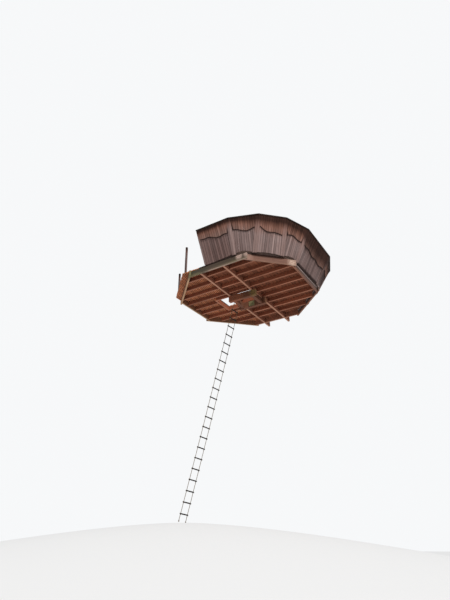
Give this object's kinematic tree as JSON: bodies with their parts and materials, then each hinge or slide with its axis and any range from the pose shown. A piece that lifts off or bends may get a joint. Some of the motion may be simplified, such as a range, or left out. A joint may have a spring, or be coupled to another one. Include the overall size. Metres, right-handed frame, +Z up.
{
  "type": "tree house",
  "caption": "Open timber tree house: eight-sided platform clamped round a trunk, leaning plank parapet, slatted terrace with a hatch and a rope ladder.",
  "frame": {"origin": "centre of the trunk-side face of the near clamp pad", "axes": "+Z up; +Y along the main beams, away from the near side, and through the trunk; +X along the joists towards the parapet, away from the terrace"},
  "size_m": [5.6365, 6.156, 9.0501],
  "materials": {
    "weathered_timber": "weathered grey-brown sawn timber",
    "pad_timber": "damp sawn timber, greenish",
    "reddish_timber": "reddish-brown stained timber",
    "silvery_planks": "silver-grey weathered planks",
    "dark_planks": "darker brown weathered planks",
    "rung_wood": "dark round wood",
    "rope": "laid fibre rope, weathered",
    "iron": "dull forged iron"
  },
  "bodies": {
    "root": {"clamp_beam_near": "weathered_timber", "clamp_beam_far": "weathered_timber", "clamp_side_left": "weathered_timber", "clamp_side_right": "weathered_timber", "main_beam_left": "weathered_timber", "main_beam_right": "weathered_timber", "rim_beam_near": "weathered_timber", "rim_beam_near_right": "weathered_timber", "rim_beam_right": "weathered_timber", "rim_beam_far_right": "weathered_timber", "rim_beam_far": "weathered_timber", "rim_beam_far_left": "weathered_timber", "rim_beam_left": "weathered_timber", "rim_beam_near_left": "weathered_timber", "parapet_sole": "weathered_timber", "terrace_posts": "weathered_timber", "clamp_pad_near": "pad_timber", "clamp_pad_far": "pad_timber", "joists_left": "reddish_timber", "joists_middle": "reddish_timber", "joists_right": "reddish_timber", "hatch_trimmers": "reddish_timber", "floor_right": "reddish_timber", "floor_near": "reddish_timber", "floor_far": "reddish_timber", "hatch_threshold": "reddish_timber", "terrace_slats_outer": "reddish_timber", "terrace_slats_near": "reddish_timber", "terrace_slats_far": "reddish_timber", "parapet_near": "silvery_planks", "parapet_near_turn_a": "silvery_planks", "parapet_near_corner": "silvery_planks", "parapet_near_turn_b": "silvery_planks", "parapet_right": "silvery_planks", "parapet_far_turn_b": "silvery_planks", "parapet_far_corner": "silvery_planks", "parapet_far_turn_a": "silvery_planks", "parapet_far": "silvery_planks", "parapet_frame_rails": "silvery_planks", "parapet_studs": "silvery_planks", "parapet_corner_boards": "silvery_planks", "parapet_wave_boards": "dark_planks", "parapet_cap": "dark_planks", "ladder_rungs": "rung_wood", "ladder_knots": "rope", "ladder_rope_left": "rope", "ladder_rope_right": "rope", "ladder_eyes": "iron"}
  },
  "joints": []
}
